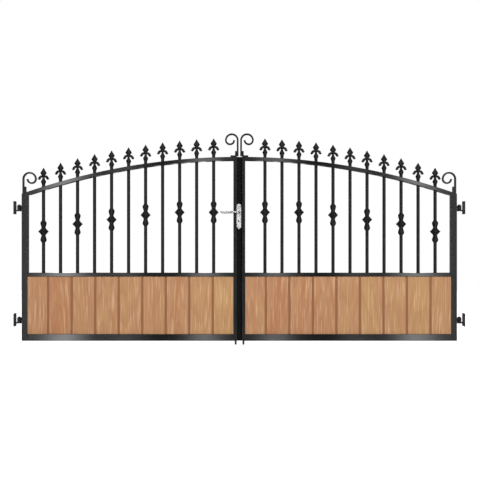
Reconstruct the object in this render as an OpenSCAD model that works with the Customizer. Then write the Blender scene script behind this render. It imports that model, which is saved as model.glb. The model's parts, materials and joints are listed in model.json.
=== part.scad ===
// Pair of arched driveway gates: a black steel frame with round bars, railheads,
// collars and scrolls above a timber panel. It hangs on four brackets.
// X runs across the opening, Y runs from the front to the rear, Z is up.
// The origin is on the back face of the lower left bracket, at the middle of its plate.

/* [Opening] */
// Clear width between the two posts
opening_w = 3050; // [2500:10:3700]
// From each post's face to the axis of the hinge pins
pin_to_post = 33; // [30:1:50]
// From the hinge axis to the edge of the leaf
pin_to_leaf = 22; // [18:1:30]
// Gap between the two closed leaves
meeting_gap = 5; // [5:1:12]

/* [Frame] */
// Depth of the stiles and rails, front to rear
frame_depth = 38; // [30:1:60]
// Width of each hinge stile
hinge_stile_w = 38; // [30:1:60]
// Width of the left leaf's meeting stile
left_meet_w = 25; // [20:1:40]
// Width of the right leaf's meeting stile
right_meet_w = 22; // [18:1:40]
// Thickness left free between the rubber seal and the right leaf
seal_gap = 0.8; // [0.5:0.1:3]
// Depth of the rubber seal, front to rear
seal_depth = 18; // [10:1:25]
// Width of the stile that carries the lock
lock_stile_w = 28; // [25:1:40]
// Depth of the stile that carries the lock
lock_stile_depth = 25; // [20:1:30]
// Height of the bottom rail
bottom_rail_h = 45; // [30:1:70]
// Height of the middle rail
middle_rail_h = 25; // [20:1:50]
// Height of the arched rail, across its curve
arch_rail_h = 25; // [20:1:50]
// Underside of the middle rail above the foot of the gate
middle_rail_z = 434; // [350:1:560]
// Top of the arch above the foot of the gate, at the middle of the opening
crown_z = 1243; // [1180:1:1500]
// Radius of the arch along its top
arch_r = 4460; // [4000:10:9000]

/* [Bars] */
// Bars in each leaf
bar_count = 11; // [5:2:15]
// Diameter of a bar
bar_d = 22; // [12:1:26]
// Centre of the first bar from the hinge edge of the leaf
bar_from_hinge = 142; // [100:1:200]
// Centre of the last bar from the middle of the opening
bar_from_middle = 174; // [140:1:240]
// Height of a bar's top above the arched rail
bar_stand = 11; // [6:1:20]
// Punched hole in the rail over the radius of the bar
hole_clear = 0.5; // [0.2:0.1:1]

/* [Collars] */
// Diameter of a collar's middle bulb
collar_d = 69; // [48:1:84]
// Diameter of a collar's ball
ball_d = 40; // [34:1:50]
// From the middle of a collar to its balls
ball_offset = 55; // [46:1:70]
// Bore of a collar over the radius of the bar
collar_clear = 0.1; // [0.05:0.05:0.3]

/* [Railheads] */
// Height of a railhead above its bar
head_h = 120; // [104:1:160]
// Width of a railhead's blade
blade_w = 43; // [25:1:60]
// Span of a railhead's two arms
arm_span = 79; // [72:1:90]
// Thickness of the blade and arms
blade_t = 9; // [5:1:14]
// Diameter of the knob at a railhead's foot
knob_d = 36; // [28:1:45]

/* [Scrolls] */
// Face width of the scroll bar
scroll_w = 12; // [6:1:14]
// Depth of the scroll bar, front to rear
scroll_t = 12; // [6:1:20]
// Centreline radius of the scrolls over the hinge stiles
hinge_scroll_r = 42; // [30:1:60]
// Centreline radius of the scrolls over the middle
middle_scroll_r = 40; // [33:1:48]
// Centreline radius of a scroll's inner turn
inner_turn_r = 28; // [20:1:30]
// Height of the hinge scrolls' stems above the rail
hinge_stem_h = 101; // [70:1:150]
// Height of the middle scrolls' stems above the rail
middle_stem_h = 115; // [70:1:150]
// Height of the tab that braces each stem
tab_h = 41; // [20:1:50]
// Outer face of the left middle stem from the middle of the opening
left_stem_x = 5; // [3:0.5:12]
// Inner face of the right middle stem from the middle of the opening
right_stem_x = 6; // [3:0.5:12]
// Gap under the stem that overhangs the lock stile
overhang_gap = 6; // [5:1:10]
// Length of the flat foot of a middle scroll along the rail
foot_l = 43; // [30:1:60]

/* [Timber panel] */
// Thickness of the boards
board_t = 20; // [16:1:30]
// Depth of the boards' face behind the front of the frame
board_recess = 6; // [0:1:12]
// Width of the flat steel strips behind the boards
strip_w = 30; // [20:1:50]
// Thickness of the flat steel strips
strip_t = 4; // [3:1:8]

/* [Hinges] */
// Radius of the hinge pins
pin_r = 8; // [5:0.5:12]
// Running clearance around a pin
pin_clear = 0.1; // [0.05:0.01:0.1]
// Outside diameter of a hinge eye
eye_d = 28; // [24:1:36]
// Height of a hinge eye
eye_h = 31; // [20:1:50]
// Diameter of the eye's neck
neck_d = 13; // [8:1:20]
// Middle of the lower eye above the foot of the gate
low_eye_z = 140; // [100:1:250]
// Middle of the upper eye below the top of the arch at the edge of the leaf
high_eye_drop = 94; // [70:1:200]
// Width of a bracket's plate
plate_w = 40; // [34:1:60]
// Thickness of a bracket's plate
plate_t = 6; // [4:1:10]
// Thickness of the lug that carries the pin
lug_t = 8; // [6:1:12]
// From the lug to the middle of each bolt hole
bolt_clear = 7; // [7:1:20]
// From the middle of each bolt hole to the end of the plate
plate_margin = 13; // [10:1:25]
// Radius of a bolt hole
bolt_hole_r = 5.5; // [4:0.5:8]

/* [Handle] */
// Width of the handle's plate
rose_w = 32; // [26:1:36]
// Bottom tip of the plate above the foot of the gate
rose_z = 753; // [650:1:800]
// Length of the plate
rose_h = 172; // [144:1:206]
// Thickness of the plate
rose_t = 4; // [3:1:8]
// Axis of the spindle above the foot of the gate
spindle_z = 868; // [800:1:900]
// Radius of the spindle
spindle_r = 6; // [4:0.5:8]
// Length of the lever from its axis
lever_l = 127; // [90:1:150]
// Height of the lever's grip
lever_h = 12; // [8:1:20]
// Thickness of the lever's grip
lever_t = 11; // [8:1:16]
// Gap between the frame and the lever
lever_gap = 24; // [18:1:40]

/* [Drop bolts] */
// Radius of a drop bolt
rod_r = 7; // [4:0.5:10]
// Depth of a lowered bolt's tip below the foot of the gate
rod_drop = 33; // [10:1:60]
// Travel of a drop bolt
rod_travel = 150; // [100:1:150]
// Clearance around a bolt in its guides
rod_clear = 0.4; // [0.2:0.1:1]
// Top of the lower guide above the foot of the gate
guide_z = 80; // [60:1:120]
// Height of a guide
guide_h = 15; // [10:1:25]

/* [Hidden] */
$fn = 48;

half_opening = opening_w / 2;
pin_x = half_opening - pin_to_post;
leaf_edge = pin_x - pin_to_leaf;
front_y = -frame_depth / 2;
rear_y = frame_depth / 2;
// the lock stile stands between the two meeting stiles, which are set out about the middle
middle_w = left_meet_w + lock_stile_w + meeting_gap + right_meet_w;
left_meet_x = middle_w / 2;
lock_left_x = -left_meet_x + left_meet_w;
lock_right_x = lock_left_x + lock_stile_w;
right_edge_x = lock_right_x + meeting_gap;
right_meet_x = right_edge_x + right_meet_w;

middle_top_z = middle_rail_z + middle_rail_h;
bar_pitch = (leaf_edge - bar_from_hinge - bar_from_middle) / (bar_count - 1);
bar_xs = [for (i = [0 : bar_count - 1]) bar_from_middle + i * bar_pitch];
// share of the clear height below the arch at which each collar sits, from the middle outwards
collar_rise = [0.525, 0.535, 0.53, 0.515, 0.51, 0.48];
collar_count = floor((bar_count + 1) / 2);
function share(i) = collar_rise[min(i, len(collar_rise) - 1)];
// height of a circle of radius r, centred under the crown, at a distance x from the middle
function arch_at(x, r = arch_r) = crown_z - arch_r + sqrt(r * r - x * x);
function collar_z(x, i) = middle_top_z + share(i) * (arch_at(x) - middle_top_z);

eye_r = eye_d / 2;
high_eye_z = arch_at(leaf_edge) - high_eye_drop;
bore_r = pin_r + pin_clear;
lug_gap = 0.5;
pin_stand = 6;
lug_top = -eye_h / 2 - lug_gap;
bolt_z = -lug_top + lug_t + bolt_clear;
plate_h = 2 * (bolt_z + plate_margin);
rod_y = rear_y + rod_r + 5;
guide_w = 22;
rod_inset = 10;
left_rod_x = lock_left_x - rod_inset;
right_rod_x = right_edge_x + rod_inset;
spindle_x = lock_right_x - rose_w / 2;
black = [0.06, 0.06, 0.065];
steel = [0.72, 0.72, 0.74];
timber = [0.72, 0.5, 0.34];

// moves from the middle of the foot of the gate to the part's own origin
module in_frame() {
    translate([half_opening, 0, -low_eye_z]) children();
}

// the right leaf is the mirror of the left one
module on_right() {
    mirror([1, 0, 0]) children();
}

// a box between two corners
module span(low, high) {
    translate(low) cube(high - low);
}

// everything below a circle of radius r that is centred under the crown
module under_arch(r) {
    translate([0, 0, crown_z - arch_r])
        rotate([90, 0, 0])
            cylinder(r = r, h = 4 * frame_depth, center = true, $fn = 360);
}

// ---- brackets on the posts

module bracket(z) {
    // drawn for the left post
    color(black)
    translate([-pin_x, 0, z])
    difference() {
        union() {
            span([-pin_to_post, -plate_w / 2, -plate_h / 2],
                 [-pin_to_post + plate_t, plate_w / 2, plate_h / 2]);
            span([-pin_to_post + plate_t, -eye_r, lug_top - lug_t], [0, eye_r, lug_top]);
            translate([0, 0, lug_top - lug_t]) cylinder(r = eye_r, h = lug_t);
            translate([0, 0, lug_top])
                cylinder(r = pin_r, h = eye_h + lug_gap + pin_stand);
        }
        for (side = [-1, 1])
            translate([-pin_to_post - 1, 0, side * bolt_z])
                rotate([0, 90, 0])
                    cylinder(r = bolt_hole_r, h = plate_t + 2);
    }
}

module bracket_left_low() { in_frame() bracket(low_eye_z); }
module bracket_left_high() { in_frame() bracket(high_eye_z); }
module bracket_right_low() { in_frame() on_right() bracket(low_eye_z); }
module bracket_right_high() { in_frame() on_right() bracket(high_eye_z); }

// ---- the frame of a leaf

// a stile from x0 to x1, cut to the underside of the arched rail
module stile(x0, x1, depth, r) {
    color(black)
    intersection() {
        span([x0, -depth / 2, 0], [x1, depth / 2, crown_z]);
        under_arch(r);
    }
}

// the arched rail from x0 to x1, punched for the bars on the left side of the opening
module arch_rail(x0, x1) {
    color(black)
    difference() {
        intersection() {
            span([x0, front_y, 0], [x1, rear_y, crown_z]);
            under_arch(arch_r);
        }
        under_arch(arch_r - arch_rail_h);
        for (x = bar_xs)
            translate([-x, 0, arch_at(x) - 3 * arch_rail_h])
                cylinder(d = bar_d + 2 * hole_clear, h = 6 * arch_rail_h);
    }
}

module flat_rail(x0, x1, z, h) {
    color(black) span([x0, front_y, z], [x1, rear_y, z + h]);
}

module left_hinge_stile() {
    in_frame() stile(-leaf_edge, -leaf_edge + hinge_stile_w, frame_depth, arch_r - arch_rail_h);
}
module left_meeting_stile() {
    in_frame() stile(-left_meet_x, lock_left_x, frame_depth, arch_r - arch_rail_h);
}
module lock_stile() {
    in_frame()
        difference() {
            stile(lock_left_x, lock_right_x, lock_stile_depth, arch_r);
            color(black)
            translate([spindle_x, 0, spindle_z]) rotate([90, 0, 0])
                cylinder(r = spindle_r + rod_clear, h = frame_depth, center = true);
        }
}
// a rubber strip on the lock stile's edge that closes the gap between the leaves
module meeting_seal() {
    in_frame()
    color(black)
    intersection() {
        span([lock_right_x, -seal_depth / 2, 0],
             [right_edge_x - seal_gap, seal_depth / 2, crown_z]);
        under_arch(arch_r);
    }
}
module left_arch_rail() { in_frame() arch_rail(-leaf_edge, lock_left_x); }
module left_middle_rail() {
    in_frame() flat_rail(-leaf_edge + hinge_stile_w, -left_meet_x, middle_rail_z, middle_rail_h);
}
module left_bottom_rail() {
    in_frame() flat_rail(-leaf_edge + hinge_stile_w, -left_meet_x, 0, bottom_rail_h);
}
module right_hinge_stile() {
    in_frame() on_right()
        stile(-leaf_edge, -leaf_edge + hinge_stile_w, frame_depth, arch_r - arch_rail_h);
}
module right_meeting_stile() {
    in_frame() on_right()
        stile(-right_meet_x, -right_edge_x, frame_depth, arch_r - arch_rail_h);
}
module right_arch_rail() { in_frame() on_right() arch_rail(-leaf_edge, -right_edge_x); }
module right_middle_rail() {
    in_frame() on_right()
        flat_rail(-leaf_edge + hinge_stile_w, -right_meet_x, middle_rail_z, middle_rail_h);
}
module right_bottom_rail() {
    in_frame() on_right()
        flat_rail(-leaf_edge + hinge_stile_w, -right_meet_x, 0, bottom_rail_h);
}

// ---- bars, collars and railheads of the left leaf

module bars() {
    color(black)
    for (x = bar_xs)
        translate([-x, 0, middle_top_z])
            cylinder(d = bar_d, h = arch_at(x) + bar_stand - middle_top_z);
}

// a turned collar: a bulb between two balls, with a slim sleeve at each end
module collar() {
    bore = bar_d / 2 + collar_clear;
    sleeve = bore + 2;
    bulb = collar_d / 2;
    ball = ball_d / 2;
    end = ball_offset + ball;
    top_half = concat(
        [[bulb, 3], [sleeve + 1, ball_offset / 2 - 4], [sleeve + 1, ball_offset / 2]],
        [for (a = [-30 : 15 : 45]) [ball * cos(a), ball_offset + ball * sin(a)]],
        [[sleeve, end]]);
    low_half = [for (i = [len(top_half) - 1 : -1 : 0]) [top_half[i][0], -top_half[i][1]]];
    rotate_extrude()
        polygon(concat([[bore, -end]], low_half, top_half, [[bore, end]]));
}

module collars() {
    color(black)
    for (i = [0 : collar_count - 1])
        translate([-bar_xs[2 * i], 0, collar_z(bar_xs[2 * i], i)]) collar();
}

// a spear on a knob, with two drooping arms
module railhead() {
    knob = knob_d / 2;
    neck = 8;
    waist_z = head_h - 54;
    rotate_extrude()
        polygon([[0, 0], [bar_d / 2, 0], [knob, 16], [neck, 40], [neck, waist_z - 6],
                 [neck + 4, waist_z], [neck - 2, waist_z + 6], [0, waist_z + 6]]);
    // blade and arms, drawn downwards from the tip
    rotate([90, 0, 0])
        linear_extrude(blade_t, center = true)
            for (side = [0, 1])
                mirror([side, 0])
                    translate([0, head_h]) {
                        polygon([[0, 0], [0, -56], [neck + 3, -54], [blade_w / 2, -37],
                                 [blade_w / 4, -15]]);
                        polygon([[0, -53], [18, -53], [26, -61], [31, -70],
                                 [arm_span / 2, -71], [34, -83], [22, -85], [13, -71], [0, -68]]);
                    }
}

module railheads() {
    color(black)
    for (x = bar_xs)
        translate([-x, 0, arch_at(x) + bar_stand]) railhead();
}

module left_bars() { in_frame() bars(); }
module left_collars() { in_frame() collars(); }
module left_railheads() { in_frame() railheads(); }
module right_bars() { in_frame() on_right() bars(); }
module right_collars() { in_frame() on_right() collars(); }
module right_railheads() { in_frame() on_right() railheads(); }

// ---- scrolls

// half a ring of the scroll bar about the origin, above the X axis
module half_ring(r) {
    difference() {
        circle(r = r + scroll_w / 2, $fn = 96);
        circle(r = r - scroll_w / 2, $fn = 96);
        translate([-2 * r, -4 * r]) square([4 * r, 4 * r]);
    }
}

// the turns of a scroll: its stem's outer face is at x = 0 and it curls towards +X
module scroll_turns(r) {
    middle = scroll_w / 2 + r;
    translate([middle, 0]) half_ring(r);
    translate([middle + r - inner_turn_r, 0]) mirror([0, 1]) half_ring(inner_turn_r);
}

// gives an outline drawn in X and Z the depth of the scroll bar
module scroll_bar() {
    rotate([90, 0, 0]) linear_extrude(scroll_t, center = true) children();
}

// a scroll whose stem stands on the arched rail; x0 is its outer face
module standing_scroll(x0, r) {
    low = arch_at(x0) - arch_rail_h;
    top = arch_at(x0) + hinge_stem_h;
    tab_top = arch_at(x0 + 2 * scroll_w) + tab_h;
    color(black)
    difference() {
        scroll_bar() {
            translate([x0, low]) square([scroll_w, top - low]);
            translate([x0, low]) square([2 * scroll_w + 1, tab_top - low]);
            translate([x0, top]) scroll_turns(r);
        }
        under_arch(arch_r);
    }
}

// a scroll whose stem overhangs the lock stile and is carried by a tab that stands on the rail
module overhung_scroll(x0, r, rail_x) {
    foot_x = max(rail_x, x0 + scroll_w);
    low = arch_at(x0) + overhang_gap;
    top = arch_at(x0) + middle_stem_h;
    rail_z = arch_at(x0) - arch_rail_h;
    color(black)
    difference() {
        scroll_bar() {
            translate([x0, low]) square([scroll_w, top - low]);
            translate([x0, low]) square([foot_x - x0 + scroll_w, arch_at(x0) + tab_h - low]);
            translate([foot_x, rail_z]) square([foot_l, arch_at(x0) + scroll_w - rail_z]);
            translate([x0, top]) scroll_turns(r);
        }
        under_arch(arch_r);
    }
}

module left_hinge_scroll() { in_frame() standing_scroll(-leaf_edge, hinge_scroll_r); }
module right_hinge_scroll() { in_frame() on_right() standing_scroll(-leaf_edge, hinge_scroll_r); }
module left_meeting_scroll() {
    in_frame() on_right()
        overhung_scroll(left_stem_x, middle_scroll_r, -lock_left_x);
}
module right_meeting_scroll() {
    in_frame() overhung_scroll(right_stem_x, middle_scroll_r, right_edge_x);
}

// ---- timber panel and the strips behind it

module timber_panel(x0, x1) {
    color(timber)
    span([x0, front_y + board_recess, bottom_rail_h],
         [x1, front_y + board_recess + board_t, middle_rail_z]);
}

module panel_strips(x0, x1) {
    board_rear = front_y + board_recess + board_t;
    color(black)
    for (z = [bottom_rail_h, middle_rail_z - strip_w])
        span([x0, board_rear, z], [x1, board_rear + strip_t, z + strip_w]);
}

module left_timber_panel() {
    in_frame() timber_panel(-leaf_edge + hinge_stile_w, -left_meet_x);
}
module right_timber_panel() {
    in_frame() on_right() timber_panel(-leaf_edge + hinge_stile_w, -right_meet_x);
}
module left_panel_strips() {
    in_frame() panel_strips(-leaf_edge + hinge_stile_w, -left_meet_x);
}
module right_panel_strips() {
    in_frame() on_right() panel_strips(-leaf_edge + hinge_stile_w, -right_meet_x);
}

// ---- hinge eyes

module hinge_eyes() {
    color(black)
    for (z = [low_eye_z, high_eye_z])
        translate([-pin_x, 0, z])
            difference() {
                union() {
                    cylinder(r = eye_r, h = eye_h, center = true);
                    rotate([0, 90, 0]) cylinder(d = neck_d, h = pin_to_leaf);
                }
                cylinder(r = bore_r, h = eye_h + 2, center = true);
            }
}

module left_hinge_eyes() { in_frame() hinge_eyes(); }
module right_hinge_eyes() { in_frame() on_right() hinge_eyes(); }

// ---- handle

// outline of the handle's plate: a round top and a pointed foot
module rose_outline() {
    half = rose_w / 2;
    foot = 14;
    translate([-half, foot]) square([rose_w, rose_h - foot - half]);
    translate([0, rose_h - half]) circle(r = half);
    polygon([[-half, foot + 1], [half, foot + 1], [half, foot], [half * 0.45, foot * 0.5],
             [0, 0], [-half * 0.45, foot * 0.5], [-half, foot]]);
}

// the plates stand on packings that reach the recessed lock stile
module handle_plates() {
    recess = (frame_depth - lock_stile_depth) / 2;
    in_frame()
    color(steel)
    for (side = [0, 1])
        mirror([0, side, 0])
            difference() {
                union() {
                    translate([spindle_x, front_y, rose_z]) rotate([90, 0, 0])
                        linear_extrude(rose_t) rose_outline();
                    span([lock_left_x + 2, front_y, rose_z + 20],
                         [lock_right_x - 2, front_y + recess, rose_z + rose_h - 20]);
                }
                translate([spindle_x, front_y, spindle_z]) rotate([90, 0, 0])
                    cylinder(r = spindle_r + rod_clear, h = 4 * recess, center = true);
            }
}

// the two levers on their common spindle
module lever_handle() {
    reach = rear_y + rose_t + lever_gap;
    in_frame()
    color(steel)
    translate([spindle_x, 0, spindle_z]) {
        rotate([90, 0, 0]) cylinder(r = spindle_r, h = 2 * reach, center = true);
        for (side = [0, 1])
            mirror([0, side, 0]) {
                translate([0, -reach, 0]) rotate([90, 0, 0])
                    cylinder(r = lever_h / 2 + 1, h = lever_t);
                span([-lever_l + lever_h / 2, -reach - lever_t, -lever_h / 2],
                     [0, -reach, lever_h / 2]);
                translate([-lever_l + lever_h / 2, -reach, 0]) rotate([90, 0, 0])
                    cylinder(r = lever_h / 2, h = lever_t);
            }
    }
}

// ---- drop bolts

module bolt_guides(x) {
    color(black)
    for (z = [guide_z - guide_h, guide_z + rod_travel + 2 * guide_h])
        difference() {
            span([x - guide_w / 2, rear_y, z], [x + guide_w / 2, rod_y + rod_r + 5, z + guide_h]);
            translate([x, rod_y, z - 1]) cylinder(r = rod_r + rod_clear, h = guide_h + 2);
        }
}

// the rod rests on the lower guide by its stop ring and is lifted by its bent top
module drop_bolt(x) {
    top = guide_z + rod_travel + 5 * guide_h;
    color(black)
    translate([x, rod_y, 0]) {
        translate([0, 0, -rod_drop]) cylinder(r = rod_r, h = rod_drop + top);
        translate([0, 0, guide_z]) cylinder(r = rod_r + 4, h = 10);
        translate([0, 0, top]) sphere(r = rod_r);
        translate([0, 0, top]) rotate([-90, 0, 0]) cylinder(r = rod_r, h = 55);
    }
}

module left_bolt_guides() { in_frame() bolt_guides(left_rod_x); }
module right_bolt_guides() { in_frame() bolt_guides(right_rod_x); }
module left_drop_bolt() { in_frame() drop_bolt(left_rod_x); }
module right_drop_bolt() { in_frame() drop_bolt(right_rod_x); }

bracket_left_low();
bracket_left_high();
bracket_right_low();
bracket_right_high();
left_hinge_stile();
left_meeting_stile();
lock_stile();
meeting_seal();
left_arch_rail();
left_middle_rail();
left_bottom_rail();
left_bars();
left_collars();
left_railheads();
left_hinge_scroll();
left_meeting_scroll();
left_timber_panel();
left_panel_strips();
left_hinge_eyes();
left_bolt_guides();
handle_plates();
right_hinge_stile();
right_meeting_stile();
right_arch_rail();
right_middle_rail();
right_bottom_rail();
right_bars();
right_collars();
right_railheads();
right_hinge_scroll();
right_meeting_scroll();
right_timber_panel();
right_panel_strips();
right_hinge_eyes();
right_bolt_guides();
lever_handle();
left_drop_bolt();
right_drop_bolt();
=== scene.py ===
"""Finishes a pair of arched steel driveway gates with timber infill: coated steelwork, turned collars,
forged railheads, boarded panels, a lever handle and its fixings, on a plain studio floor."""

import json
import math
import random

import bmesh
import bpy
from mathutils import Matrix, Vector


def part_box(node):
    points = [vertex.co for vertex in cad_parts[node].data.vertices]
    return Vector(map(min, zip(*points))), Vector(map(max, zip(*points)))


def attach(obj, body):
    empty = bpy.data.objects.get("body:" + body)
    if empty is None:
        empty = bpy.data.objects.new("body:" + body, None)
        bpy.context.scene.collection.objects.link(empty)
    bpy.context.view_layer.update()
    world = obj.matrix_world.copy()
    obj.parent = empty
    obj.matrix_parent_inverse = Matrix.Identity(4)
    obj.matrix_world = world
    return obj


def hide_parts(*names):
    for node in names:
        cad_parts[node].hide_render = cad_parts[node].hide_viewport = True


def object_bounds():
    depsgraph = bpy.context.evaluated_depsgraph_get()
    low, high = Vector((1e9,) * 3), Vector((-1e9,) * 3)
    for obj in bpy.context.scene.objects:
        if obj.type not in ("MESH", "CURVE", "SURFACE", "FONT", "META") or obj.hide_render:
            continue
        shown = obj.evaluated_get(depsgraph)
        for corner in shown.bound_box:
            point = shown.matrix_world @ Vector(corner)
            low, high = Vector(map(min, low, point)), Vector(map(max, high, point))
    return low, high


bl_info = {
    "name": "Arched Driveway Gates",
    "version": (1, 0, 0),
    "blender": (4, 5, 0),
    "location": "3D View > Sidebar > Gates",
    "description": "Adds boards, collars, railheads, a handle and finishes to a pair of steel gates",
    "category": "Object",
}

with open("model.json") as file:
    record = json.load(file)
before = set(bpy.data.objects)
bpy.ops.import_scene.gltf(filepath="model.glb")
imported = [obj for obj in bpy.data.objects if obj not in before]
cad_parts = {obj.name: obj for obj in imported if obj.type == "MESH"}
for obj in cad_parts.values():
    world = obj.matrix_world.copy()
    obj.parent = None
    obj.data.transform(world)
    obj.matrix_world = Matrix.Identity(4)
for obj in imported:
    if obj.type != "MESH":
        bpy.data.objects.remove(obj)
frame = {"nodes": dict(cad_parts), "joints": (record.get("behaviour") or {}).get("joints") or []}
CAD_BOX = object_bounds()
MM = 0.001
SIDES = ("left", "right")


# ---------------------------------------------------------------- places read from the frame

def islands(node):
    """(lowest, highest corner) of each separate solid of a CAD node, ordered from left to right."""
    copy = bmesh.new()
    copy.from_mesh(frame["nodes"][node].data)
    bmesh.ops.remove_doubles(copy, verts=copy.verts, dist=0.01 * MM)
    todo = set(copy.verts)
    found = []
    while todo:
        queue = [todo.pop()]
        group = list(queue)
        while queue:
            near = queue.pop()
            for edge in near.link_edges:
                other = edge.other_vert(near)
                if other in todo:
                    todo.remove(other)
                    queue.append(other)
                    group.append(other)
        low = Vector([min(v.co[i] for v in group) for i in range(3)])
        high = Vector([max(v.co[i] for v in group) for i in range(3)])
        found.append((low, high))
    copy.free()
    return sorted(found, key=lambda box: box[0].x)


FRONT_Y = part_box("left_bottom_rail")[0].y
REAR_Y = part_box("left_bottom_rail")[1].y
FOOT_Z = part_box("left_bottom_rail")[0].z
MIDDLE_X = (CAD_BOX[0].x + CAD_BOX[1].x) / 2


# ---------------------------------------------------------------- settings

def linear(hex_colour):
    """Turns an sRGB hex colour into linear red, green and blue."""
    parts = [int(hex_colour[i:i + 2], 16) / 255 for i in (1, 3, 5)]
    return tuple(p / 12.92 if p <= 0.04045 else ((p + 0.055) / 1.055) ** 2.4 for p in parts)


def colour(name, description, default):
    return bpy.props.FloatVectorProperty(
        name=name, description=description, default=linear(default), subtype="COLOR",
        size=3, min=0.0, max=1.0)


def length(name, description, default, low=0.0):
    return bpy.props.FloatProperty(
        name=name, description=description, default=default, unit="LENGTH", subtype="DISTANCE",
        min=low)


class GateColours(bpy.types.PropertyGroup):
    coating: colour("Coating", "Black powder coat on the steelwork", "#060606")
    bar_coating: colour("Bar Coating", "Satin black powder coat on the round bars", "#1C1C1D")
    casting: colour("Castings", "Black paint on the cast and forged ornaments", "#121212")
    # the rubber colour also serves the lock stile, where its near-black is painted shade for the recess
    rubber: colour("Rubber", "Closing strip and the matt black lock stile", "#040404")
    board_red: colour("Reddish Board", "Heartwood of the reddest board", "#B57D58")
    board_tan: colour("Tan Board", "Usual colour of a board", "#BB8B65")
    board_gold: colour("Golden Board", "Sapwood of the most yellow board", "#BF9565")
    late_wood: colour("Late Wood", "Brown lines between the growth rings", "#A06C48")
    # the pale grain colour also paints the highlight along the panel's outer edges
    pale_grain_and_edge_highlight: colour("Pale Grain", "Pale streaks of early wood", "#DAB48C")
    joint: colour("Joint", "Stained bottom of the channel between two boards", "#9A694A")
    stainless: colour("Stainless", "Satin stainless steel of the handle", "#C8C8CA")
    zinc: colour("Zinc", "Zinc-plated screws at the back", "#A9AAA6")
    floor: colour("Floor", "Studio floor", "#FAFAFA")


class GateSizes(bpy.types.PropertyGroup):
    board_pitch: length("Board Pitch", "Width of a board and its joint", 0.159, 0.05)
    joint_width: length("Joint Width", "Width of the channel between two boards", 0.015, 0.004)
    joint_depth: length("Joint Depth", "Depth of the channel between two boards", 0.003, 0.001)
    edge_round: length("Edge Radius", "Rounding of the rolled steel edges", 0.0016, 0.0002)
    screw_radius: length("Screw Radius", "Radius of a board screw's head", 0.0045, 0.001)
    weld_leg: length("Weld Leg", "Leg of the weld round the foot of a bar", 0.003, 0.001)


class GateStudio(bpy.types.PropertyGroup):
    camera_distance: length("Camera Distance", "From the lens to the front of the gate", 3.8, 1.0)
    camera_height: length("Camera Height", "Lens above the foot of the gate", 0.681, 0.1)
    camera_aside: length("Camera Offset", "Lens to the right of the middle", 0.0047)
    field_width: length("Field Width", "Width in view at the front of the gate", 3.24, 1.0)
    key_power: bpy.props.FloatProperty(
        name="Key Power", description="Watts of the large front lamp", default=96.0, min=0.0)
    top_power: bpy.props.FloatProperty(
        name="Top Power", description="Watts of the overhead lamp", default=70.0, min=0.0)


def colours():
    return bpy.context.scene.gate_colours


def sizes():
    return bpy.context.scene.gate_sizes


def studio():
    return bpy.context.scene.gate_studio


# ---------------------------------------------------------------- materials

def node(tree, kind, settings=None, links=None, **attributes):
    """Adds a node, sets its attributes and sockets, and links its inputs from other nodes' outputs."""
    made = tree.nodes.new(kind)
    for key, value in attributes.items():
        setattr(made, key, value)
    for socket, value in (settings or {}).items():
        made.inputs[socket].default_value = value
    for socket, source in (links or {}).items():
        tree.links.new(source, made.inputs[socket])
    return made


def rgba(colour_value):
    return (*colour_value[:3], 1.0)


def new_material(name):
    made = bpy.data.materials.new(name)
    made.use_nodes = True
    tree = made.node_tree
    tree.nodes.clear()
    surface = node(tree, "ShaderNodeBsdfPrincipled")
    node(tree, "ShaderNodeOutputMaterial", links={"Surface": surface.outputs[0]})
    return made, tree, surface


def ramp(tree, source, stops):
    """A colour ramp with the given (place, rgba) stops."""
    made = node(tree, "ShaderNodeValToRGB", links={"Fac": source})
    bar = made.color_ramp
    while len(bar.elements) < len(stops):
        bar.elements.new(0.5)
    for element, (place, value) in zip(bar.elements, stops):
        element.position = place
        element.color = value
    return made


def shade(value, factor):
    return (value[0] * factor, value[1] * factor, value[2] * factor, 1.0)


def object_place(tree):
    return node(tree, "ShaderNodeTexCoord").outputs["Object"]


def drawn_out(tree, place, stretch):
    """The place squeezed by (x, y, z) shares, so that noise on it draws out into long lines."""
    return node(tree, "ShaderNodeVectorMath", {1: stretch}, {0: place}, operation="MULTIPLY").outputs[0]


def noise(tree, place, lump_mm, detail):
    """Noise whose lumps are about lump_mm wide."""
    return node(tree, "ShaderNodeTexNoise", {"Scale": 0.5 / (lump_mm * MM), "Detail": detail},
                {"Vector": place}).outputs["Fac"]


def spread(tree, source, low, high):
    """The source's 0 to 1 laid out between two values."""
    return node(tree, "ShaderNodeMapRange", {"To Min": low, "To Max": high},
                {"Value": source}).outputs["Result"]


def relief(tree, source, strength, depth):
    """A bump of that depth in metres."""
    return node(tree, "ShaderNodeBump", {"Strength": strength, "Distance": depth},
                {"Height": source}).outputs["Normal"]


def clouded(tree, source, places, value, factor):
    """A colour that changes to its own lighter or darker shade between two places of the source."""
    stops = [(places[0], rgba(value)), (places[1], shade(value, factor))]
    return ramp(tree, source, stops).outputs["Color"]


def feed(tree, surface, tint, rough=None, normal=None):
    """Links the outputs that drive a surface's colour, roughness and normal."""
    for socket, source in (("Base Color", tint), ("Roughness", rough), ("Normal", normal)):
        if source is not None:
            tree.links.new(source, surface.inputs[socket])


def powder_coat():
    """Polyester powder baked on steel: deep black, wet gloss, with the faint orange peel that powder
    leaves as it flows, so long reflections waver a little."""
    made, tree, surface = new_material("gloss black powder-coated steel")
    peel_mm = 3.0
    cloud_mm = 70.0
    place = object_place(tree)
    peel = noise(tree, place, peel_mm, 1.0)
    haze = noise(tree, place, cloud_mm, 3.0)
    surface.inputs["IOR"].default_value = 1.5
    feed(tree, surface, clouded(tree, haze, (0.35, 0.75), colours().coating, 1.7),
         spread(tree, haze, 0.09, 0.13), relief(tree, peel, 0.03, 0.1 * MM))
    return made


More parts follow.
